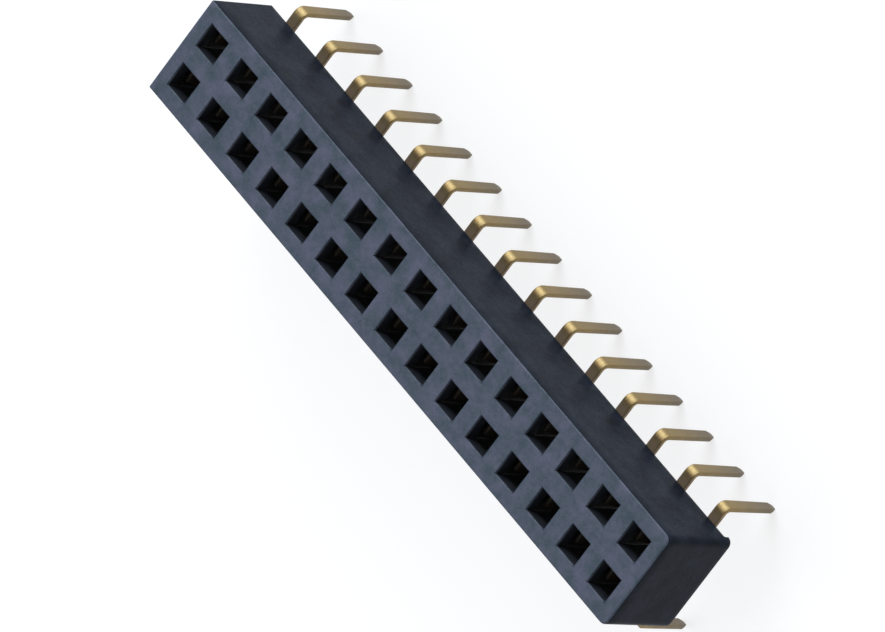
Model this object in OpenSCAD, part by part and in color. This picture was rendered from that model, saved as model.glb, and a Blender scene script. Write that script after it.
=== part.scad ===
// Female pin header strip: two rows of sockets in one upright moulding, with a formed
// spring contact in each socket. Every tail leaves sideways under the moulding's long
// wall and turns down to pass through a board.
// X runs along the strip, Y across the rows, and the board's surface is z = 0.

/* [Grid] */
// Sockets in each row
per_row = 15; // [2:1:29]
// Distance between neighbouring sockets along a row
pitch = 2; // [1.9:0.01:2.6]
// Distance between the two rows of sockets
row_pitch = 2; // [1.9:0.01:2.6]

/* [Housing] */
// Height of the moulding above its standoff feet
body_h = 3.7; // [3.6:0.1:8.6]
// Wall outside each row of chambers
side_wall = 0.5; // [0.35:0.01:0.8]
// Wall beyond the last chamber at each end
end_wall = 0.45; // [0.42:0.01:1]
// Radius of the upright corners at the +X end
corner_r = 0.3; // [0.1:0.01:0.35]
// Radius of the upright corners at the -X end, where the strip was cut to length
cut_corner_r = 0.05; // [0.03:0.01:0.3]
// Radius along the edges of the mating face
edge_r = 0.08; // [0.03:0.01:0.2]

/* [Standoff feet] */
// Height of the feet, which hold the moulding off the board
foot_h = 0.3; // [0.28:0.01:0.6]
// Length of each foot along the strip
foot_len = 0.3; // [0.2:0.01:0.33]
// Radius of a foot's lower outer edge
foot_edge_r = 0.08; // [0.03:0.01:0.12]
// Radius of the fillet between a foot and the underside
foot_fillet_r = 0.12; // [0.05:0.01:0.15]
// How far the foot at the -X end is set in from the side walls
foot_inset = 0.45; // [0.4:0.01:0.9]

/* [Sockets] */
// Width of the square socket
socket_w = 1.1; // [0.8:0.01:1.2]
// Chamfer round the mouth of the socket
mouth_c = 0.06; // [0.03:0.01:0.15]
// Thickness of the mating wall that the sockets pass through
throat_h = 0.6; // [0.4:0.05:1]
// Width of the contact chamber along the strip
chamber_w = 1.5; // [1.3:0.01:1.6]
// Width of the contact chamber across the rows
chamber_d = 1.5; // [1.3:0.01:1.6]

/* [Contact] */
// Thickness of the contact strip
strip_t = 0.2; // [0.15:0.01:0.22]
// Clearance between a contact's base and its chamber, which the barbs bridge
fit_gap = 0.05; // [0.03:0.01:0.08]
// Height of the U-shaped base
base_h = 1; // [0.9:0.05:1.2]
// Height of the base above the underside of the moulding
base_lift = 0.2; // [0.15:0.01:0.3]
// Inner radius of the folds between the base's back and its wings
fold_r = 0.1; // [0.05:0.01:0.12]
// Room between the wings' free edges and the chamber's inner wall
wing_gap = 0.2; // [0.1:0.01:0.3]
// Gap between the two leaves where they grip the pin
grip_gap = 0.4; // [0.25:0.01:0.45]
// Gap between the leaves' flared tips
tip_gap = 0.8; // [0.65:0.01:0.85]
// Room between the leaves' tips and the mating wall
tip_clear = 0.1; // [0.06:0.01:0.2]
// Height of the flare above the grip
flare_h = 0.65; // [0.5:0.01:0.8]
// Inner radius of the leaf at its grip
grip_r = 0.25; // [0.1:0.01:0.3]
// Width of a leaf at the base
leaf_root_w = 0.7; // [0.5:0.01:0.7]
// Width of a leaf at its tip
leaf_tip_w = 0.5; // [0.3:0.01:0.5]

/* [Barbs] */
// Height of the lower barb's catching edge above the lower edge of the base
barb_lift = 0.08; // [0.03:0.01:0.1]
// Width of a barb across the wing
barb_w = 0.5; // [0.3:0.01:0.6]
// Height of a barb from its catching edge to the end of its ramp
barb_h = 0.3; // [0.2:0.01:0.35]
// Height of the flat land that bears on the chamber wall
barb_land = 0.08; // [0.04:0.01:0.12]

/* [Tails] */
// Width of a tail where it leaves the base
tail_w = 0.5; // [0.35:0.01:0.6]
// Width of a tail where the taper of its tip begins
tail_end_w = 0.44; // [0.3:0.01:0.5]
// Distance between the two rows of tails
tail_row_gap = 6; // [5.8:0.01:8]
// Gap between the underside of the moulding and a tail
tail_gap = 0.05; // [0.03:0.01:0.07]
// Length of a tail below the board's surface
tail_below = 3; // [1.5:0.1:5]
// Inner radius of the bends in a tail
bend_r = 0.15; // [0.08:0.01:0.2]
// Length of the taper at a tail's tip
point_h = 0.26; // [0.2:0.01:0.6]
// Width of a tail's blunt tip
point_w = 0.2; // [0.12:0.01:0.3]
// Thickness of a tail's blunt tip
point_t = 0.1; // [0.06:0.01:0.14]

/* [Hidden] */
$fn = 48;

// The two rows, by the letter that names their contacts and the turn that places them
ROWS = [["a", 0], ["b", 180]];

function contact_name(row, i) = str("contact_", ROWS[row][0], i < 10 ? "0" : "", i);

// Overshoot of cutting solids past the face that they cut
over = 0.05;

total_h = foot_h + body_h;
body_l = (per_row - 1) * pitch + chamber_w + 2 * end_wall;
body_w = row_pitch + chamber_d + 2 * side_wall;
gap_l = body_l - 2 * foot_len;

// The base stands clear of the chamber by the fit gap, and its centrelines lie half a
// thickness inside its outer faces
wing_x = chamber_w / 2 - fit_gap - strip_t / 2;
back_y = chamber_d / 2 - fit_gap - strip_t / 2;
wing_end_y = wing_gap - chamber_d / 2;
base_z = foot_h + base_lift;
base_top = base_z + base_h;

// Heights and half gaps of the leaves' centrelines
tip_z = total_h - throat_h - tip_clear - strip_t / 2;
grip_z = tip_z - flare_h;
grip_x = (grip_gap + strip_t) / 2;
tip_x = (tip_gap + strip_t) / 2;

// Centreline of the tail's outward run, and its place across the rows from the socket
run_z = foot_h - tail_gap - strip_t / 2;
tail_y = (tail_row_gap - row_pitch) / 2;

function along(i) = (i - (per_row + 1) / 2) * pitch;
function unit(v) = v / norm(v);
function side_of(a, b) = sign(a.x * b.y - a.y * b.x);

// What a corner of radius r takes away from a square corner at the origin
module corner_waste(r) {
    difference() {
        translate([-over, -over]) square(r + over);
        translate([r, r]) circle(r);
    }
}

// Rectangle l by h standing on the X axis, with low and high corners of their own radius
module upright_plate(l, h, low_r, high_r) {
    difference() {
        translate([-l / 2, 0]) square([l, h]);
        for (s = [0, 1]) mirror([s, 0]) {
            if (low_r > 0) translate([-l / 2, 0]) corner_waste(low_r);
            if (high_r > 0) translate([-l / 2, h]) mirror([0, 1]) corner_waste(high_r);
        }
    }
}

// Normal to the left of the stretch from a to b
function left_of(a, b) = let (dir = unit(b - a)) [-dir.y, dir.x];

// Point beside corner i of a path where the lines drawn at distance d to its left meet
function beside(path, i, d) =
    let (n1 = left_of(path[max(i - 1, 0)], path[max(i, 1)]),
         n2 = left_of(path[min(i, len(path) - 2)], path[min(i + 1, len(path) - 1)]))
    path[i] + d * (n1 + n2) / (1 + n1 * n2);

// Kite from a bend's centre out to distance d, which holds all of the bend at corner i
module bend_kite(path, i, side, mid_r, d) {
    centre = beside(path, i, side * mid_r);
    n1 = left_of(path[i - 1], path[i]);
    n2 = left_of(path[i], path[i + 1]);
    polygon([centre, centre - side * d * n1, beside(path, i, side * (mid_r - d)),
             centre - side * d * n2]);
}

// Outline of a strip of thickness t formed along a path with inner bend radius r: a
// sharp-cornered band, filled inside each bend and rounded off outside it
module formed_strip(path, r, t) {
    last = len(path) - 1;
    mid_r = r + t / 2;
    turns = [for (i = [1:last - 1]) side_of(path[i] - path[i - 1], path[i + 1] - path[i])];
    difference() {
        union() {
            polygon([for (i = [0:last]) beside(path, i, t / 2),
                     for (i = [last:-1:0]) beside(path, i, -t / 2)]);
            for (i = [1:last - 1]) difference() {
                bend_kite(path, i, turns[i - 1], mid_r, mid_r);
                translate(beside(path, i, turns[i - 1] * mid_r)) circle(r);
            }
        }
        for (i = [1:last - 1]) difference() {
            bend_kite(path, i, turns[i - 1], mid_r, r + t + over);
            translate(beside(path, i, turns[i - 1] * mid_r)) circle(r + t);
        }
    }
}

// Stands a side view, drawn as [y, z], up and gives it the width w along X
module across_x(w) {
    rotate([90, 0, 90]) linear_extrude(w, center = true) children();
}

// Stands a front view, drawn as [x, z], up and gives it the depth d along Y
module across_y(d) {
    rotate([90, 0, 0]) linear_extrude(d, center = true) children();
}

// The moulding's plan, with the corners of each end at their own radius
module plan() {
    difference() {
        square([body_l, body_w], center = true);
        for (s = [0, 1]) mirror([0, s]) {
            translate([-body_l / 2, -body_w / 2]) corner_waste(cut_corner_r);
            translate([body_l / 2, -body_w / 2]) mirror([1, 0]) corner_waste(corner_r);
        }
    }
}

// The moulding's outside: its plan, its front view with the feet, and its end view
module body_blank() {
    intersection() {
        linear_extrude(total_h) plan();
        across_y(body_w + 2 * over) difference() {
            upright_plate(body_l, total_h, foot_edge_r, edge_r);
            translate([0, -over]) upright_plate(gap_l, foot_h + over, 0, foot_fillet_r);
        }
        across_x(body_l + 2 * over) upright_plate(body_w, total_h, 0, edge_r);
    }
}

// What is cut away beside the foot at the -X end
module foot_sides() {
    for (s = [0, 1]) mirror([0, s, 0])
        translate([-body_l / 2 - over, body_w / 2 - foot_inset, -over])
            cube([foot_len + foot_fillet_r + 2 * over, foot_inset + over, foot_h + over]);
}

// Square mouth that opens at 45 degrees towards the mating face
module mouth() {
    low = socket_w / 2;
    high = low + mouth_c + over;
    flare = [[-low, -mouth_c], [low, -mouth_c], [high, over], [-high, over]];
    intersection() {
        across_x(2 * high) polygon(flare);
        across_y(2 * high) polygon(flare);
    }
}

// Relief under the outer wall of a chamber, where the tail bends outwards
module tail_relief() {
    reach = bend_r + over;
    translate([0, chamber_d / 2, foot_h]) across_x(tail_w + 2 * fit_gap)
        polygon([[-over, -over], [reach, -over], [-over, reach]]);
}

// All that is cut out of the moulding for one socket
module cavity() {
    translate([-chamber_w / 2, -chamber_d / 2, foot_h - over])
        cube([chamber_w, chamber_d, body_h - throat_h + over]);
    translate([-socket_w / 2, -socket_w / 2, total_h - throat_h - over])
        cube([socket_w, socket_w, throat_h + 2 * over]);
    translate([0, 0, total_h]) mouth();
    tail_relief();
}

// Places its children at socket i of a row, turned so that +Y points out of the strip
module at_socket(row, i) {
    rotate([0, 0, ROWS[row][1]]) translate([row == 0 ? along(i) : -along(i), row_pitch / 2, 0])
        children();
}

module housing() {
    color("#343a44") difference() {
        body_blank();
        foot_sides();
        for (row = [0, 1], i = [1:per_row]) at_socket(row, i) cavity();
    }
}

// U-shaped base: a back that lies along the outer wall and two wings folded inwards
module base() {
    translate([0, 0, base_z]) linear_extrude(base_h)
        formed_strip([[-wing_x, wing_end_y], [-wing_x, back_y], [wing_x, back_y],
                      [wing_x, wing_end_y]], fold_r, strip_t);
}

// Barbs on one wing: each ramps out to a land that bears on the chamber wall
module barbs() {
    face = wing_x + strip_t / 2;
    for (step = [0, base_h / 2]) translate([0, 0, base_z + barb_lift + step]) across_y(barb_w)
        polygon([[wing_x, 0], [face + fit_gap, 0], [face + fit_gap, barb_land],
                 [face, barb_h], [wing_x, barb_h]]);
}

// One spring leaf: rises from the wing, leans in to the grip and flares out at the tip
module leaf() {
    intersection() {
        across_y(leaf_root_w)
            formed_strip([[wing_x, base_top - strip_t], [wing_x, base_top + strip_t],
                          [grip_x, grip_z], [tip_x, tip_z]], grip_r, strip_t);
        across_x(chamber_w) polygon([
            [-leaf_root_w / 2, base_z], [leaf_root_w / 2, base_z],
            [leaf_root_w / 2, base_top + strip_t], [leaf_tip_w / 2, grip_z],
            [leaf_tip_w / 2, tip_z], [leaf_tip_w / 2 - strip_t / 2, total_h],
            [strip_t / 2 - leaf_tip_w / 2, total_h], [-leaf_tip_w / 2, tip_z],
            [-leaf_tip_w / 2, grip_z], [-leaf_root_w / 2, base_top + strip_t]]);
    }
}

// Tail: down from the base's back, out under the side wall, then down again, a little
// narrower towards its tapered point
module tail() {
    tip = -tail_below;
    shoulder = tip + point_h;
    intersection() {
        across_x(tail_w)
            formed_strip([[back_y, base_z + strip_t], [back_y, run_z], [tail_y, run_z],
                          [tail_y, tip]], bend_r, strip_t);
        across_y(2 * (tail_y + strip_t)) polygon([
            [-tail_w / 2, base_top], [tail_w / 2, base_top], [tail_w / 2, 0],
            [tail_end_w / 2, shoulder], [point_w / 2, tip], [-point_w / 2, tip],
            [-tail_end_w / 2, shoulder], [-tail_w / 2, 0]]);
        across_x(tail_w + 2 * over) polygon([
            [back_y - strip_t, base_top], [tail_y + strip_t / 2, base_top],
            [tail_y + strip_t / 2, shoulder], [tail_y + point_t / 2, tip],
            [tail_y - point_t / 2, tip], [tail_y - strip_t / 2, shoulder],
            [back_y - strip_t, shoulder]]);
    }
}

module contact(row, i) {
    color("#a8946a") at_socket(row, i) {
        base();
        tail();
        for (s = [0, 1]) mirror([s, 0, 0]) {
            barbs();
            leaf();
        }
    }
}

housing();
for (row = [0, 1], i = [1:per_row])
    contact(row, i);
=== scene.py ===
# %% [markdown]
# A female pin header strip, dressed for its picture.
#
# The real thing is a black plastic bar with two rows of square sockets. In each socket
# sits a spring contact, stamped out of a thin metal strip and folded to a U, and each
# contact's tail leaves under the long wall and turns down into a circuit board.
#
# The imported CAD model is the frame: it says where everything is. This lesson makes the
# surfaces that the eye meets: the moulding with its rounded edges and its mould
# finishes, and thirty contacts with their rolled metal grain.

# %% The frame
import math

import bmesh
import bpy
import numpy as np
from mathutils import Matrix


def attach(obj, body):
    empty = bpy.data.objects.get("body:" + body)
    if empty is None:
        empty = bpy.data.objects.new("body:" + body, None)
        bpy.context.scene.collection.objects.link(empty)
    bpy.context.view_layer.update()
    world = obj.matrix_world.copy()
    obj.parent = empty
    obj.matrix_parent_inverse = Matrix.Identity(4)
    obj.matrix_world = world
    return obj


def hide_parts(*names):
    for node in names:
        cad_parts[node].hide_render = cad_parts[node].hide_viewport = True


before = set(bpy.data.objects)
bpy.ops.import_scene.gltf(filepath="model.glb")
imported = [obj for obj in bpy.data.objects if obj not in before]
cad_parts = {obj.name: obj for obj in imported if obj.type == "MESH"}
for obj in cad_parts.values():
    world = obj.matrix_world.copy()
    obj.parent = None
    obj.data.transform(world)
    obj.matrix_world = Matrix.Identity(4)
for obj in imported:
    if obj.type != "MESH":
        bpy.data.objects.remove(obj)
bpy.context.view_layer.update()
MM = 0.001

# %% [markdown]
# The strip is drawn on a grid of 2.00 mm. Everything below is in millimetres, measured
# from the board's surface at z = 0, with X along the strip, and turned into metres only
# when a mesh is written. The numbers are the ones that the CAD model uses, because the
# new surfaces have to lie where its solids lie.
#
# Two small lengths at the end serve to compare places: HAIR for numbers that were just
# worked out, and NEAR for places read back from a mesh, which stores them less finely.

# %% Sizes in millimetres
PER_ROW, PITCH, ROW_PITCH = 15, 2.0, 2.0
CHAMBER, SOCKET, THROAT_H = 1.5, 1.1, 0.6
SIDE_WALL, END_WALL = 0.5, 0.45
BODY_H, FOOT_H, FOOT_INSET = 3.7, 0.3, 0.45
CORNER_R, CUT_CORNER_R = 0.3, 0.05
STRIP_T = 0.2
BODY_L = (PER_ROW - 1) * PITCH + CHAMBER + 2 * END_WALL
BODY_W = ROW_PITCH + CHAMBER + 2 * SIDE_WALL
TOTAL_H = FOOT_H + BODY_H
SOCKET_X = (np.arange(PER_ROW) - (PER_ROW - 1) / 2) * PITCH
SOCKET_Y = ROW_PITCH / 2
HAIR, NEAR = 1e-6, 0.01
print("bar:", BODY_L, "x", BODY_W, "mm, over its feet", TOTAL_H, "mm")
print("sockets along X:", SOCKET_X[0], "to", SOCKET_X[-1], "mm")

# %% [markdown]
# Every mesh in this lesson ends up in the same few lines: points and faces go in as
# whole arrays, flat millimetres become metres, and the object stays at the origin with
# its place in its mesh. A sharp edge never exists on a real moulding or stamping, so the
# meshes also carry a radius for every edge that turns. Blender's Bevel modifier reads it
# as an edge weight and rounds all of them at once.


# %% From arrays to a mesh
def mesh_from(name, points, quads):
    """A smooth-shaded mesh from points in mm and faces as rows of four point numbers."""
    mesh = bpy.data.meshes.new(name)
    mesh.from_pydata((points * MM).tolist(), [], quads.tolist())
    mesh.polygons.foreach_set("use_smooth", np.ones(len(mesh.polygons), bool))
    return mesh


def merge_points(mesh, apart=1e-7):
    """Merges points that lie less than a distance in metres apart, and drops the edges
    and faces that have no length or area left."""
    work = bmesh.new()
    work.from_mesh(mesh)
    bmesh.ops.remove_doubles(work, verts=work.verts, dist=apart)
    bmesh.ops.dissolve_degenerate(work, edges=work.edges, dist=apart)
    work.to_mesh(mesh)
    work.free()


def read(collection, field, width):
    """One field of all vertices, edges or faces as an array with width columns."""
    values = np.empty(len(collection) * width)
    collection.foreach_get(field, values)
    return values.reshape(-1, width) if width > 1 else values


def edge_facts(mesh):
    """For each edge its middle in mm, and how much its two faces agree: the product of
    their normals is 1 on flat ground, 0 at a square edge and -1 at a knife edge."""
    ends = read(mesh.edges, "vertices", 2).astype(int)
    middle = read(mesh.vertices, "co", 3)[ends].mean(axis=1) / MM
    face_of_loop = np.repeat(np.arange(len(mesh.polygons)),
                             read(mesh.polygons, "loop_total", 1).astype(int))
    by_edge = np.argsort(read(mesh.loops, "edge_index", 1), kind="stable")
    pairs = face_of_loop[by_edge].reshape(-1, 2)
    normals = read(mesh.polygons, "normal", 3)
    return ends, middle, (normals[pairs[:, 0]] * normals[pairs[:, 1]]).sum(axis=1)


def round_edges(piece, radii, segments):
    """Rounds each edge of a piece by its own radius in mm, then lets the broad faces set
    the shading so that flat ground stays flat."""
    widest = float(radii.max())
    weights = piece.data.attributes.new("bevel_weight_edge", "FLOAT", "EDGE")
    weights.data.foreach_set("value", (radii / widest).astype(np.float32))
    bevel = piece.modifiers.new("rounded edges", "BEVEL")
    bevel.limit_method, bevel.width = "WEIGHT", widest * MM
    bevel.segments, bevel.use_clamp_overlap = segments, False
    shade = piece.modifiers.new("even shading", "WEIGHTED_NORMAL")
    shade.keep_sharp, shade.weight = False, 80


def piece_from(name, mesh, node):
    """Puts a mesh into the scene as the piece that stands for a CAD node."""
    piece = bpy.data.objects.new(name, mesh)
    bpy.context.scene.collection.objects.link(piece)
    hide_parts(node)
    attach(piece, "root")
    return piece


# %% [markdown]
# The moulding comes out of a two-part mould. The upper half carries square pins that
# form the sockets, and the lower half carries wider ones that form the contact chambers.
# One could model it by cutting thirty holes into a bar, but each cut leaves long thin
# faces that don't take rounded edges well.
#
# Here the bar is a block of cells instead. Planes at every wall that the mould has cut
# the block into uneven boxes, an array says which boxes are plastic, and the skin is
# every box face that has plastic on one side and air on the other. The result is closed
# by construction, and all its faces are four-sided.


# %% A skin round cells of plastic
def skin(xs, ys, zs, solid):
    """Points and faces of the skin: where a cell of plastic meets a cell of air along an
    axis, the face between them is drawn, and it looks towards the air."""
    number = np.arange(len(xs) * len(ys) * len(zs)).reshape(len(xs), len(ys), len(zs))
    padded = np.pad(solid, 1).astype(int)
    faces = []
    for order in ((0, 1, 2), (1, 2, 0), (2, 0, 1)):
        step = np.diff(padded.transpose(order)[:, 1:-1, 1:-1], axis=0)
        corner = number.transpose(order)
        for towards in (-1, 1):
            i, j, k = np.nonzero(step == towards)
            ring = [corner[i, j, k], corner[i, j + 1, k],
                    corner[i, j + 1, k + 1], corner[i, j, k + 1]]
            faces.append(np.stack(ring[::-towards], axis=1))
    points = np.stack(np.meshgrid(xs, ys, zs, indexing="ij"), axis=-1).reshape(-1, 3)
    return points, np.concatenate(faces)


def between(low, high, lines):
    """Whether each cell between neighbouring lines lies between low and high."""
    middle = (lines[1:] + lines[:-1]) / 2
    return (middle > low) & (middle < high)


# %% [markdown]
# The upright corners at the near end have a radius of 0.3 mm, while those at the far end,
# where the strip was cut from a longer one, stay almost sharp. The cells in a corner are
# square in plan, so their points are pushed on to a quarter disc: a point keeps its
# distance as counted in square rings round the corner's centre, and its share of the way
# along the ring becomes an angle.


# %% Rounded plan corners
def round_plan(points):
    """Moves points of the +X end's square corner blocks on to quarter discs: with a and
    b the shares across the block, the ring is the greater of the two and the angle is an
    eighth turn times their ratio."""
    inner = np.array([BODY_L, BODY_W]) / 2 - CORNER_R
    past = (np.abs(points[:, :2]) - inner) / CORNER_R
    here = (past > HAIR).all(axis=1) & (points[:, 0] > 0)
    a, b = past[here].T
    ring = np.maximum(a, b)
    angle = np.where(a >= b, math.pi / 4 * b / a, math.pi / 2 - math.pi / 4 * a / b)
    disc = inner + CORNER_R * ring[:, None] * np.stack([np.cos(angle), np.sin(angle)], 1)
    points[here, :2] = np.sign(points[here, :2]) * disc
    return points


# %% [markdown]
# Now the walls. Each socket narrows to 1.10 mm in the mating wall and opens to a chamber
# of 1.50 mm below it. A standoff foot stands at each end: the one in front is as wide as
# the bar, the far one is set in from the side walls. A foot is as long as the corner's
# radius, so both end on one plane. At the bottom of each chamber's outer wall a notch as
# deep as it is high makes room for the bend of the tail.


# %% The bar's cells
def mirrored(values):
    """Values and their negatives, sorted."""
    return np.unique(np.round(np.concatenate([values, -np.asarray(values)]), 6))


RINGS = np.array([0, 0.35, 0.7, 1])
RELIEF_W, RELIEF = 0.6, 0.2
end_x = BODY_L / 2 - CORNER_R
relief_y = SOCKET_Y + CHAMBER / 2 + RELIEF
offsets = np.array([CHAMBER, SOCKET, RELIEF_W]) / 2
xs = mirrored(np.concatenate([
    (SOCKET_X[:, None] + np.concatenate([offsets, -offsets])).ravel(),
    end_x + CORNER_R * RINGS]))
ys = mirrored(np.concatenate([
    SOCKET_Y + np.array([-CHAMBER, -SOCKET, SOCKET, CHAMBER]) / 2,
    BODY_W / 2 - CORNER_R * (1 - RINGS), [BODY_W / 2 - FOOT_INSET, relief_y]]))
zs = np.array([0, FOOT_H, FOOT_H + RELIEF, TOTAL_H - THROAT_H, TOTAL_H])


def block(x_range, y_range, z_range):
    """Cells inside a box, as an array of true and false."""
    return (between(*x_range, xs)[:, None, None] & between(*y_range, ys)[None, :, None]
            & between(*z_range, zs)[None, None, :])


inset_y = BODY_W / 2 - FOOT_INSET
wide, narrow, notch = offsets
solid = block((-BODY_L, BODY_L), (-BODY_W, BODY_W), (FOOT_H, TOTAL_H))
solid |= block((end_x, BODY_L), (-BODY_W, BODY_W), (0, FOOT_H))
solid |= block((-BODY_L, -end_x), (-inset_y, inset_y), (0, FOOT_H))
for x in SOCKET_X:
    for side in (-1, 1):
        y = side * SOCKET_Y
        solid &= ~block((x - wide, x + wide), (y - wide, y + wide),
                        (FOOT_H, TOTAL_H - THROAT_H))
        solid &= ~block((x - narrow, x + narrow), (y - narrow, y + narrow),
                        (TOTAL_H - THROAT_H, TOTAL_H))
        solid &= ~block((x - notch, x + notch), sorted((y + side * wide, side * relief_y)),
                        (FOOT_H, FOOT_H + RELIEF))
points, quads = skin(xs, ys, zs, solid)
print("cells:", solid.size, "of them plastic:", int(solid.sum()), "skin faces:", len(quads))

# %% [markdown]
# The roof of each notch is a slope of an eighth turn, because a mould fills such a place
# better than a square one. A roof point therefore sinks by as much as it lies outside
# the chamber's wall. The outermost ones land on the underside, so they merge with the
# points that are there, and the notch closes.

# %% The slope above each tail's bend, and the mesh
past = np.abs(points[:, 1]) - (relief_y - RELIEF)
beside = np.abs(points[:, :1] - SOCKET_X).min(axis=1) < RELIEF_W / 2 + HAIR
on_slope = (np.isclose(points[:, 2], FOOT_H + RELIEF) & beside
            & (past > HAIR) & (past < RELIEF + HAIR))
points[on_slope, 2] -= past[on_slope]
used, renumbered = np.unique(quads, return_inverse=True)
moulding = mesh_from("housing_moulding", round_plan(points)[used],
                     renumbered.reshape(quads.shape))
merge_points(moulding)
print("moulding:", len(moulding.vertices), "points,", len(moulding.polygons), "faces")

# %% [markdown]
# Mould makers give each kind of edge its own radius. The rim of the mating face and the
# feet get 0.08 mm, the mouths open with 0.06 mm to lead the pins in, a foot meets the
# underside in a fillet of 0.12 mm, and edges that only the cutter's wear has broken get
# 0.02 mm. An edge turns where its two faces disagree by more than a sixth turn, and lies
# on the outline where both its ends do.


# %% Radii of the edges
RIM_R, MOUTH_R, FILLET_R, WORN_R = 0.08, 0.06, 0.12, 0.02
ends, middle, agree = edge_facts(moulding)
turning = agree < 0.5


def from_outline(at):
    """Distance in mm from a plan point in to the bar's outline: the nearer straight
    wall, or in a round corner the radius less the distance from the corner's centre."""
    half = np.array([BODY_L, BODY_W]) / 2
    past = np.abs(at[..., :2]) - (half - CORNER_R)
    straight = (CORNER_R - past).min(axis=-1)
    round_ = CORNER_R - np.hypot(*np.moveaxis(np.maximum(past, 0), -1, 0))
    return np.where((past > 0).all(axis=-1) & (at[..., 0] > 0), round_, straight)


corners = read(moulding.vertices, "co", 3)[ends] / MM
reach = np.ptp(corners, axis=1)
x, z = np.abs(middle[:, 0]), middle[:, 2]
outline = turning & (from_outline(corners) < NEAR).all(axis=1)
level, across = reach[:, 2] < NEAR, reach[:, 0] < NEAR
at_top, at_foot = z > TOTAL_H - NEAR, np.abs(z - FOOT_H) < NEAR
radii = np.where(turning, WORN_R, 0.0)
radii[outline & level & (at_top | (z < NEAR))] = RIM_R
radii[turning & ~outline & at_top] = MOUTH_R
radii[turning & (np.abs(x - end_x) < NEAR) & at_foot & level & across] = FILLET_R
radii[outline & ~level & (middle[:, 0] < -end_x) & (z > FOOT_H)] = CUT_CORNER_R
print("rounded edges:", int(turning.sum()), "with radii", np.unique(radii))

# %% [markdown]
# The rounded mesh is kept as it is now, in place of the one with sharp edges, so that
# each finish can later be given by the way a face looks: it then ends halfway round the
# rim at every corner.

# %% The moulding, rounded
housing = piece_from("housing_moulding", moulding, "housing")
round_edges(housing, radii, segments=3)
rounded = housing.evaluated_get(bpy.context.evaluated_depsgraph_get())
moulding = bpy.data.meshes.new_from_object(rounded)
housing.modifiers.clear()
housing.data = moulding
print("rounded moulding:", len(moulding.polygons), "faces")

# %% [markdown]
# A contact starts as a flat blank in a press. The blank has a base as wide as the
# unrolled U, two leaves that stand up from it and one tail that hangs down. The press
# then folds the base round its back, bends the leaves towards each other and bends the
# tail out and down.
#
# The same can be done with numbers. A path is a line with rounded corners, measured by
# the length along it, so a flat coordinate on the blank becomes a place and a direction
# on the folded part. Metal keeps its length along its middle, which is why the grids
# below are laid out on the middle of the strip first and get their thickness after.


# %% Paths with rounded corners
def bent_path(corners, inner_r, steps=8):
    """Places, headings and lengths along a line whose inner corners are arcs. An arc
    starts the radius times the tangent of half the turn before its corner, and its
    heading grows evenly along it."""
    corners, radius = np.asarray(corners, float), inner_r + STRIP_T / 2
    legs = np.diff(corners, axis=0)
    headings = np.arctan2(legs[:, 1], legs[:, 0])
    turns = (np.diff(headings) + math.pi) % (2 * math.pi) - math.pi
    places, heads = [corners[:1]], [headings[:1]]
    for corner, heading, turn in zip(corners[1:], headings, turns):
        ahead = np.array([math.cos(heading), math.sin(heading)])
        aside = np.array([-ahead[1], ahead[0]]) * np.sign(turn)
        start = corner - ahead * radius * math.tan(abs(turn) / 2)
        angle = heading + np.linspace(0, turn, steps + 1)
        arm = np.stack([np.sin(angle), -np.cos(angle)], axis=1) * np.sign(turn)
        places.append(start + aside * radius + arm * radius)
        heads.append(angle)
    places = np.concatenate(places + [corners[-1:]])
    heads = np.concatenate(heads + [heads[-1][-1:]])
    lengths = np.concatenate([[0], np.hypot(*np.diff(places, axis=0).T).cumsum()])
    return {"place": places, "heading": heads, "length": lengths}


def along(path, length):
    """Place and unit normal to the left at given lengths along a path."""
    place = np.stack([np.interp(length, path["length"], axis) for axis in path["place"].T],
                     axis=-1)
    heading = np.interp(length, path["length"], path["heading"])
    return place, np.stack([-np.sin(heading), np.cos(heading)], axis=-1)


def stations(path, longest):
    """The lengths of a path's own points, with more between them where they lie far
    apart, so that every quad stays compact."""
    gaps = np.diff(path["length"])
    parts = np.maximum(np.ceil(gaps / longest), 1).astype(int)
    inside = [start + gap * np.arange(n) / n
              for start, gap, n in zip(path["length"], gaps, parts) if gap > HAIR]
    return np.concatenate(inside + [path["length"][-1:]])


# %% [markdown]
# A contact has a running gap of 0.05 mm to its chamber and holds on to it by its barbs
# alone. Its leaves meet the pin at the grip, which is narrower than a pin, and flare out
# above it to catch one that comes in askew. The lengths below are those of the strip's
# middle, and three paths follow from them: around the U, up a leaf and down the tail.

# %% The contact's sizes in millimetres
FIT_GAP, WING_GAP, TAIL_GAP, TIP_CLEAR = 0.05, 0.2, 0.05, 0.1
BASE_LIFT, BASE_H, FLARE_H = 0.2, 1.0, 0.65
FOLD_R, GRIP_R, BEND_R = 0.1, 0.25, 0.15
WING_X = BACK_Y = CHAMBER / 2 - FIT_GAP - STRIP_T / 2
WING_END_Y = WING_GAP - CHAMBER / 2
BASE_Z = FOOT_H + BASE_LIFT
BASE_TOP = BASE_Z + BASE_H
TIP_Z = TOTAL_H - THROAT_H - TIP_CLEAR - STRIP_T / 2
GRIP_Z, GRIP_X, TIP_X = TIP_Z - FLARE_H, 0.3, 0.5
LEAF_W, LEAF_TIP_W = 0.7, 0.5
RUN_Z, TAIL_Y, TAIL_TIP_Z = FOOT_H - TAIL_GAP - STRIP_T / 2, 2.0, -3.0
TAIL_W, TAIL_END_W, POINT_W, POINT_T, POINT_H = 0.5, 0.44, 0.2, 0.1, 0.26
BARB_W, BARB_OUT, BARB_H, BARB_LAND = 0.5, 0.048, 0.3, 0.08

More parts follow.
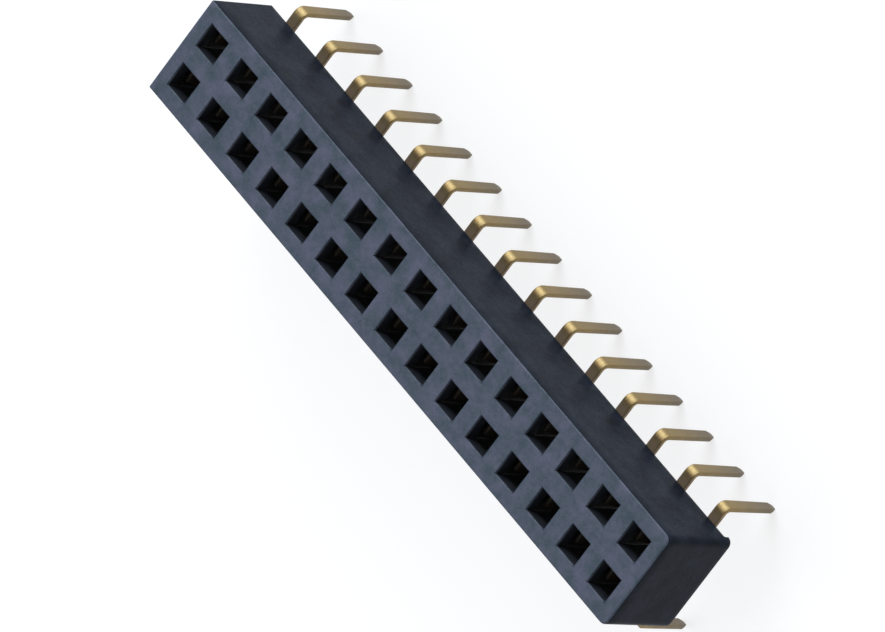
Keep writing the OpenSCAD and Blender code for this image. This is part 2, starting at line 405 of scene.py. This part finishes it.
around = bent_path([(0, BACK_Y), (WING_X, BACK_Y), (WING_X, WING_END_Y)], FOLD_R)
rise = bent_path([(WING_X, BASE_TOP), (WING_X, BASE_TOP + STRIP_T), (GRIP_X, GRIP_Z),
                  (TIP_X, TIP_Z)], GRIP_R)
drop = bent_path([(BACK_Y, BASE_Z), (BACK_Y, RUN_Z), (TAIL_Y, RUN_Z),
                  (TAIL_Y, TAIL_TIP_Z)], BEND_R)
print("blank: U", round(2 * around["length"][-1], 3), "mm wide, leaf",
      round(rise["length"][-1], 3), "mm, tail", round(drop["length"][-1], 3), "mm long")

# %% [markdown]
# The blank is three kinds of grid that share their edge points: the base, a leaf on each
# wing and the tail. Each grid gives for every point its middle place, the way its
# outer face looks, its two flat coordinates, which later lead the metal's grain round
# the bends, its share of the full thickness and the height of a barb on it.
#
# A wing carries two barbs, one above the other. Each starts with a step that bites into
# the plastic, stays level for its land and slopes back to the wing above. The step is
# 0.001 mm long instead of none, so that the points below and above it stay two.


# %% Grids of the blank
PLACE, OUTWARDS, FLAT = slice(0, 3), slice(3, 6), slice(6, 8)
THIN, BARB = slice(8, 9), slice(9, 10)
BARB_STARTS, STEP = (0.08, 0.58), 0.001
half_wing = np.array([0.1, BARB_W / 2, BARB_W / 2 + NEAR, LEAF_W / 2])
wing_y = np.concatenate([-half_wing[::-1], half_wing])
wing_s = around["length"][-1] + WING_END_Y - wing_y
tail_s = np.linspace(-TAIL_W / 2, TAIL_W / 2, 6)
base_s = mirrored(np.concatenate([tail_s, wing_s, around["length"][1:]]))
barb_z = [start + np.array([-STEP, 0, BARB_LAND, BARB_H]) for start in BARB_STARTS]
BARB_Z = BASE_Z + np.concatenate([[0], *barb_z, [BASE_H]])
BARB_RISE = np.array([0, 0, 1, 1, 0, 0, 1, 1, 0, 0]) * BARB_OUT


def as_grid(middle, outwards, flat, thin=1.0, barb=0.0):
    """One grid's points as rows of place, outward normal, flat pair, share of the
    thickness and barb height."""
    shape = middle.shape[:2] + (1,)
    return np.concatenate([middle, outwards, flat, np.broadcast_to(thin, shape),
                           np.broadcast_to(barb, shape)], axis=2)


def base_grid():
    """Base: the flat width s goes round the U, and the height is kept."""
    s, z = np.meshgrid(base_s, BARB_Z, indexing="ij")
    place, normal = along(around, np.abs(s))
    side = np.sign(s)
    on_wing = np.abs(place[..., 1]) <= BARB_W / 2 + HAIR
    barb = np.where(on_wing, np.interp(z, BARB_Z, BARB_RISE), 0)[..., None]
    return as_grid(np.stack([side * place[..., 0], place[..., 1], z], -1),
                   np.stack([side * normal[..., 0], normal[..., 1], 0 * z], -1),
                   np.stack([s, z], -1), barb=barb)


def leaf_grid(side):
    """Leaf: the flat height follows the rise, and the width narrows towards the tip in
    proportion, so that columns stay columns."""
    y, h = np.meshgrid(wing_y, stations(rise, 0.12), indexing="ij")
    place, normal = along(rise, h)
    width = np.interp(place[..., 1], [BASE_TOP + STRIP_T, GRIP_Z], [1, LEAF_TIP_W / LEAF_W])
    return as_grid(np.stack([side * place[..., 0], y * width, place[..., 1]], -1),
                   np.stack([-side * normal[..., 0], 0 * h, -normal[..., 1]], -1),
                   np.stack([side * (wing_s[:, None] + 0 * h), BASE_TOP + h], -1))


def tail_grid():
    """Tail: the flat height follows the drop. Width and thickness are functions of the
    height over the board: slightly less towards the shoulder, then down to the point."""
    x, h = np.meshgrid(tail_s, stations(drop, 0.15), indexing="ij")
    place, normal = along(drop, h)
    z, shoulder = place[..., 1], TAIL_TIP_Z + POINT_H
    width = np.interp(z, [TAIL_TIP_Z, shoulder, 0], [POINT_W, TAIL_END_W, TAIL_W]) / TAIL_W
    thin = np.interp(z, [TAIL_TIP_Z, shoulder], [POINT_T / STRIP_T, 1])[..., None]
    return as_grid(np.stack([x * width, place[..., 0], z], -1),
                   np.stack([0 * x, normal[..., 0], normal[..., 1]], -1),
                   np.stack([x, BASE_Z - h], -1), thin=thin)


# %% [markdown]
# The grids meet where their edge points lie at the same place, so joining them means
# counting such points once. The sheet then gets its thickness: one copy is pushed out
# along the normals, one in, and a band closes the edge all round.


# %% One folded contact
def joined(grids):
    """All grids as one sheet: quads of neighbouring points, with the points that two
    grids share counted once."""
    rows, quads, first = [], [], 0
    for grid in grids:
        number = first + np.arange(grid[..., 0].size).reshape(grid.shape[:2])
        quads.append(np.stack([number[:-1, :-1], number[1:, :-1], number[1:, 1:],
                               number[:-1, 1:]], -1).reshape(-1, 4))
        rows.append(grid.reshape(-1, grid.shape[2]))
        first += grid[..., 0].size
    rows, quads = np.concatenate(rows), np.concatenate(quads)
    _, kept, place = np.unique(np.round(rows[:, PLACE], 5), axis=0,
                               return_index=True, return_inverse=True)
    rows, quads = rows[kept], place.ravel()[quads]
    a, b, _, d = (rows[quads[:, i], PLACE] for i in range(4))
    inwards = (np.cross(b - a, d - a) * rows[quads[:, 0], OUTWARDS]).sum(axis=1) < 0
    quads[inwards] = quads[inwards, ::-1]
    return rows, quads


def thickened(rows, quads):
    """Closed shell of a sheet: an outer and an inner face half a thickness off the
    middle, and a band along every edge that only one quad has."""
    count, half = len(rows), rows[:, THIN] * STRIP_T / 2
    outer = rows[:, PLACE] + rows[:, OUTWARDS] * (half + rows[:, BARB])
    inner = rows[:, PLACE] - rows[:, OUTWARDS] * half
    edges = np.stack([quads, np.roll(quads, -1, axis=1)], axis=-1).reshape(-1, 2)
    _, index, seen = np.unique(np.sort(edges, axis=1), axis=0,
                               return_index=True, return_counts=True)
    a, b = edges[index[seen == 1]].T
    band = np.stack([b, a, a + count, b + count], axis=1)
    faces = np.concatenate([quads, quads[:, ::-1] + count, band])
    return np.concatenate([outer, inner]), faces, np.unique(a)


rows, sheet = joined([base_grid(), leaf_grid(1), leaf_grid(-1), tail_grid()])
shell, shell_faces, border = thickened(rows, sheet)
flat = np.tile(rows[:, FLAT], (2, 1))
print("contact:", len(shell), "points,", len(shell_faces), "faces")
print("sheet:", len(rows), "points, of them", len(border), "on its edge")

# %% [markdown]
# All thirty contacts come from the same tool, so the folded shape is worked out once.
# The second row is the same part turned half round, as it is on the real strip, so that
# the tails of the two rows point away from each other. Only the edges that the punch
# has cut get rounded, because the folds are round already.


# %% Thirty contacts
STAMPED_R = 0.03


def contact_at(name, turned, x):
    """The folded contact at a socket: moved out to its row, turned for the second row."""
    placed = shell + [0, SOCKET_Y, 0]
    placed = placed * [-1, -1, 1] if turned else placed
    mesh = mesh_from(name, placed + [x, 0, 0], shell_faces)
    corner = read(mesh.loops, "vertex_index", 1).astype(int)
    layer = mesh.uv_layers.new(name="blank")
    layer.uv.foreach_set("vector", (flat[corner] * MM).astype(np.float32).ravel())
    return mesh


contacts = []
on_border = np.zeros(len(shell), bool)
on_border[np.concatenate([border, border + len(rows)])] = True
for letter, turned in (("a", False), ("b", True)):
    for number, x in enumerate(SOCKET_X, start=1):
        node = f"contact_{letter}{number:02d}"
        mesh = contact_at("formed_" + node, turned, x)
        piece = piece_from("formed_" + node, mesh, node)
        edge_ends, _, agreement = edge_facts(mesh)
        stamped = on_border[edge_ends].all(axis=1) & (agreement < 0.6)
        round_edges(piece, np.where(stamped, STAMPED_R, 0.0), segments=2)
        contacts.append(piece)
print("contacts:", len(contacts), "rounded edges on each:", int(stamped.sum()))

# %% [markdown]
# Finishes. Colours are picked as they look on a screen and turned into the linear values
# that light is counted in. One helper adds a node, gives its settings and links its
# sockets, so that a material reads as a list of what each step does. Where a node has
# several sockets of one name, they go by number: a Map Range takes its value in s0, the
# range that comes in as s1 and s2 and the one that goes out as s3 and s4, and a Mix of
# colours takes its share in s0 and the colours in s6 and s7.


# %% Colour and node helpers
def linear(code):
    """Linear colour of an sRGB hex code: below 0.04045 a share of 1/12.92, above it the
    power 2.4 of the value raised by 0.055 and divided by 1.055."""
    value = np.array([int(code[i:i + 2], 16) for i in (1, 3, 5)]) / 255
    low, high = value / 12.92, ((value + 0.055) / 1.055) ** 2.4
    return (*np.where(value <= 0.04045, low, high).tolist(), 1.0)


def add(tree, kind, settings=None, **sockets):
    """Adds one shader node. Settings are its own fields, and sockets are numbers,
    colours or outputs to link; a name such as s6 means the seventh socket."""
    made = tree.nodes.new("ShaderNode" + kind)
    for field, value in (settings or {}).items():
        setattr(made, field, value)
    for key, value in sockets.items():
        numbered = key[0] == "s" and key[1:].isdigit()
        socket = made.inputs[int(key[1:]) if numbered else key.replace("_", " ")]
        if isinstance(value, bpy.types.NodeSocket):
            tree.links.new(value, socket)
        else:
            socket.default_value = value
    return made


def material(name):
    """A new material with its shader, and the tree that they are in."""
    made = bpy.data.materials.new(name)
    made.use_nodes = True
    return made, made.node_tree, made.node_tree.nodes["Principled BSDF"]


def per_mm(size):
    """Noise scale for features of a size in mm, when coordinates are in metres."""
    return 1 / (size * MM)


# %% [markdown]
# The bar is black polyamide filled with short glass fibres. The mould's cavity for the
# mating face was spark-eroded, which leaves a fine even grain that scatters the light,
# while the side walls were ground and are smoother. The insides of the sockets were
# formed by small core pins and are duller than the walls. The one black is given two
# greys: the mating face's is painted lighter, slate grey, as a painted sheen of the light
# from above, and the walls' is painted darker, as painted shade. Fibres near the skin
# mottle the grey over a millimetre and less. The grain is really about 0.02 mm; it is
# drawn at 0.07 and 0.10 mm here, because a finer one would fall between the picture's
# pixels.


# %% Glass-filled polyamide
def polyamide(name, dark, light, rough, grain_mm, grain_high):
    """Moulded polyamide: two close greys mixed by fibre clouds, and the mould's grain, of
    a width and a height in mm, which also varies the roughness a little."""
    made, tree, shader = material(name)
    at = add(tree, "TexCoord").outputs["Object"]
    clouds = add(tree, "TexNoise", Vector=at, Scale=per_mm(1.0), Detail=5.0, Roughness=0.75)
    grain = add(tree, "TexNoise", Vector=at, Scale=per_mm(grain_mm), Detail=2.0)
    share = add(tree, "MapRange", s0=clouds.outputs[0], s1=0.36, s2=0.64)
    both = add(tree, "Mix", {"data_type": "RGBA"}, s0=share.outputs[0],
               s6=linear(dark), s7=linear(light))
    gloss = add(tree, "MapRange", s0=grain.outputs[0], s1=0.3, s2=0.7,
                s3=rough - 0.06, s4=rough + 0.08)
    bump = add(tree, "Bump", Height=grain.outputs[0], Distance=grain_high * MM,
               Strength=1.0)
    tree.links.new(both.outputs[2], shader.inputs["Base Color"])
    tree.links.new(gloss.outputs[0], shader.inputs["Roughness"])
    tree.links.new(bump.outputs[0], shader.inputs["Normal"])
    shader.inputs["IOR"].default_value = 1.53
    return made


# Painted light and shade: the eroded grey is painted lighter as a sheen from above, and the
# ground grey is painted darker as shade on the walls.
eroded_painted_sheen = polyamide("polyamide_eroded_painted_sheen", "#1b313b", "#454859", 0.62, 0.07, 0.010)
ground = polyamide("polyamide_ground_painted_shade", "#0c121b", "#1c222d", 0.34, 0.10, 0.003)
cored = polyamide("polyamide_core_pin", "#14181f", "#20242c", 0.50, 0.10, 0.003)
ground.node_tree.nodes["Principled BSDF"].inputs["Specular IOR Level"].default_value = 0.03
for finish in (eroded_painted_sheen, ground, cored):
    moulding.materials.append(finish)

# %% [markdown]
# Which face gets which finish follows from where the mould's parts meet. What looks up
# on the mating face was made by the cavity's floor. What lies deeper in the bar than the
# rounding of its walls, above the underside, was made by the core pins. All the rest was
# made by the ground walls.

# %% A finish for each face
DEEP = 0.1
normals = read(moulding.polygons, "normal", 3)
centres = read(moulding.polygons, "center", 3) / MM
top = (normals[:, 2] > 0.6) & (centres[:, 2] > TOTAL_H - DEEP)
inside = ~top & (from_outline(centres) > DEEP) & (centres[:, 2] > FOOT_H + NEAR)
moulding.polygons.foreach_set("material_index", np.where(top, 0, np.where(inside, 2, 1)))
print("faces with the eroded finish:", int(top.sum()), "inside:", int(inside.sum()))

# %% [markdown]
# The contacts are phosphor bronze strip with a thin flash of gold over nickel. Rolling
# leaves a fine grain along the strip, so the noise is read from the blank's flat
# coordinates and drawn out lengthwise: it follows each bend as the metal does. The grain
# is drawn at 0.05 mm, a few times its real width, or it wouldn't show.
#
# The gold isn't the same all along. Towards the tip, where the tail was cut free of its
# carrier, it thins out and turns greyer. From the housing to just before the bend the
# strip is greyer and more matt. Up in the chamber the base and the leaves are painted a
# darker brown: painted shade, which dims their glints inside the sockets. The marks below
# say where each change starts and ends: the wear and the painted shade by the height over
# the board, the matt stretch by the height on the blank.


# %% Gold-flashed phosphor bronze
WORN, MATT, PAINTED_SHADE = (-0.3, -2.7), (-0.95, -0.65), (0.3, 0.8)


def gold_flash():
    """Metal: four colours mixed one over the other by the three marks, with the roll
    grain as a small change of the roughness and a faint relief."""
    made, tree, shader = material("bronze_gold_flashed")
    flat_at = add(tree, "UVMap", {"uv_map": "blank"}).outputs[0]
    drawn = add(tree, "Mapping", Vector=flat_at, Scale=(1.0, 0.08, 1.0))
    grain = add(tree, "TexNoise", Vector=drawn.outputs[0], Scale=per_mm(0.05), Detail=2.0)
    at = add(tree, "TexCoord").outputs["Object"]
    height = add(tree, "SeparateXYZ", Vector=at).outputs[2]
    stain = add(tree, "TexNoise", Vector=at, Scale=per_mm(0.6), Detail=2.0)
    worn = add(tree, "MapRange", s0=height, s1=WORN[0] * MM, s2=WORN[1] * MM)
    tone = add(tree, "Mix", {"data_type": "RGBA"}, s0=stain.outputs[0],
               s6=linear("#87744f"), s7=linear("#948058"))
    pale = add(tree, "Mix", {"data_type": "RGBA"}, s0=worn.outputs[0],
               s6=tone.outputs[2], s7=linear("#756b5c"))
    flat_height = add(tree, "SeparateXYZ", Vector=flat_at).outputs[1]
    matt = add(tree, "MapRange", s0=flat_height, s1=MATT[0] * MM, s2=MATT[1] * MM)
    grey = add(tree, "Mix", {"data_type": "RGBA"}, s0=matt.outputs[0],
               s6=pale.outputs[2], s7=linear("#94846d"))
    # Painted shade: up in the chamber the metal turns a darker brown, which dims the glints
    # in the sockets.
    painted_shade_share = add(tree, "MapRange", s0=height, s1=PAINTED_SHADE[0] * MM, s2=PAINTED_SHADE[1] * MM)
    with_painted_shade = add(tree, "Mix", {"data_type": "RGBA"}, s0=painted_shade_share.outputs[0],
                s6=grey.outputs[2], s7=linear("#625b4e"))
    gloss = add(tree, "MapRange", s0=grain.outputs[0], s1=0.3, s2=0.7, s3=0.40, s4=0.56)
    rough = add(tree, "Math", {"operation": "MULTIPLY_ADD"}, s0=matt.outputs[0], s1=0.27,
                s2=gloss.outputs[0])
    bump = add(tree, "Bump", Height=grain.outputs[0], Distance=0.002 * MM, Strength=1.0)
    tree.links.new(with_painted_shade.outputs[2], shader.inputs["Base Color"])
    tree.links.new(rough.outputs[0], shader.inputs["Roughness"])
    tree.links.new(bump.outputs[0], shader.inputs["Normal"])
    shader.inputs["Metallic"].default_value = 1.0
    return made


flashed = gold_flash()
for piece in contacts:
    piece.data.materials.append(flashed)
print("materials:", [m.name for m in bpy.data.materials])

# %% [markdown]
# The strip stands on its tails on a pale table. The table is one big plane of matt paper
# that also gives off a little light, as a lit background does in a studio, so that the
# shadows stay faint. It is seen from above only: a mix by Backfacing makes it clear from
# below, so that a look from there isn't blocked.


# %% Table
def table_top(size=3.0):
    """A square plane under the tails' tips."""
    mesh = bpy.data.meshes.new("table")
    corner = np.array([[-1, -1], [1, -1], [1, 1], [-1, 1]]) * size / 2
    low = np.full((4, 1), TAIL_TIP_Z * MM)
    mesh.from_pydata(np.hstack([corner, low]).tolist(), [], [(0, 1, 2, 3)])
    made = bpy.data.objects.new("table", mesh)
    bpy.context.scene.collection.objects.link(made)
    finish, tree, shader = material("table_paper_white")
    shader.inputs["Base Color"].default_value = linear("#8c8c8c")
    shader.inputs["Roughness"].default_value = 0.9
    shader.inputs["Specular IOR Level"].default_value = 0.0
    shader.inputs["Emission Color"].default_value = linear("#ffffff")
    shader.inputs["Emission Strength"].default_value = 0.77
    clear = add(tree, "BsdfTransparent")
    side = add(tree, "NewGeometry").outputs["Backfacing"]
    both = add(tree, "MixShader", s0=side, s1=shader.outputs[0], s2=clear.outputs[0])
    tree.links.new(both.outputs[0], tree.nodes["Material Output"].inputs["Surface"])
    mesh.materials.append(finish)


table_top()

# %% [markdown]
# Four softboxes light the strip, as in a small product studio. The wide one at the
# window stands low on the side of the tails and puts the bright band on their bends. The
# small key light and the wide one overhead stand beyond the strip as the camera sees it,
# where they give the eroded face its soft grey sheen. A weak one fills the near end
# wall, and pale surroundings do the rest.


# %% Light
def softbox(name, place, size, watts, tint):
    """A square area light at a place in metres that faces the strip: its back looks
    along the line from the strip to that place."""
    lamp = bpy.data.lights.new(name, "AREA")
    lamp.shape, lamp.size, lamp.energy = "SQUARE", size, watts
    lamp.color = linear(tint)[:3]
    made = bpy.data.objects.new(name, lamp)
    back = np.asarray(place) / np.linalg.norm(place)
    right = np.cross([0, 1, 0], back)
    right /= np.linalg.norm(right)
    made.matrix_world = Matrix.Translation(place) @ Matrix(
        np.stack([right, np.cross(back, right), back], axis=1).tolist()).to_4x4()
    bpy.context.scene.collection.objects.link(made)


softbox("window softbox", (-0.232, 0.398, 0.193), 0.43, 3.4, "#ebf4ff")
softbox("key softbox", (-0.21, 0.17, 0.38), 0.20, 0.36, "#fffaf6")
softbox("overhead softbox", (-0.20, -0.24, 0.42), 0.45, 1.75, "#e8f0ff")
softbox("fill softbox", (0.36, -0.17, 0.21), 0.40, 0.5, "#f4f6ff")
world = bpy.data.worlds.new("studio")
bpy.context.scene.world = world
world.use_nodes = True
world.node_tree.nodes["Background"].inputs[0].default_value = linear("#f2f4f8")
world.node_tree.nodes["Background"].inputs[1].default_value = 0.15
bpy.context.scene.view_settings.view_transform = "Standard"

# %% [markdown]
# The camera stands far off with a long lens, as for a catalogue picture, above the near
# right end and rolled so that the strip runs down across the picture with its mating
# face to the left. A long lens keeps lines that are parallel nearly so.


# %% Camera
def camera_at(place, right, up, focal_px, width_px=885):
    """A camera from its place and the directions of its right and up, with a focal
    length given in pixels of the picture's width."""
    data = bpy.data.cameras.new("catalogue camera")
    data.sensor_width, data.lens = 36.0, focal_px / width_px * 36.0
    data.clip_start, data.clip_end = 0.05, 5.0
    made = bpy.data.objects.new("catalogue camera", data)
    right, up = np.asarray(right), np.asarray(up)
    back = np.cross(right, up)
    turn = Matrix(np.stack([right, up, back], axis=1).tolist())
    made.matrix_world = Matrix.Translation(place) @ turn.to_4x4()
    bpy.context.scene.collection.objects.link(made)
    bpy.context.scene.camera = made
    return made


camera = camera_at((0.25281, 0.20961, 0.43272), (0.57185, 0.55416, -0.60490),
                   (-0.67490, 0.73697, 0.03712), 14228.6)
print("lens:", round(camera.data.lens, 1), "mm")
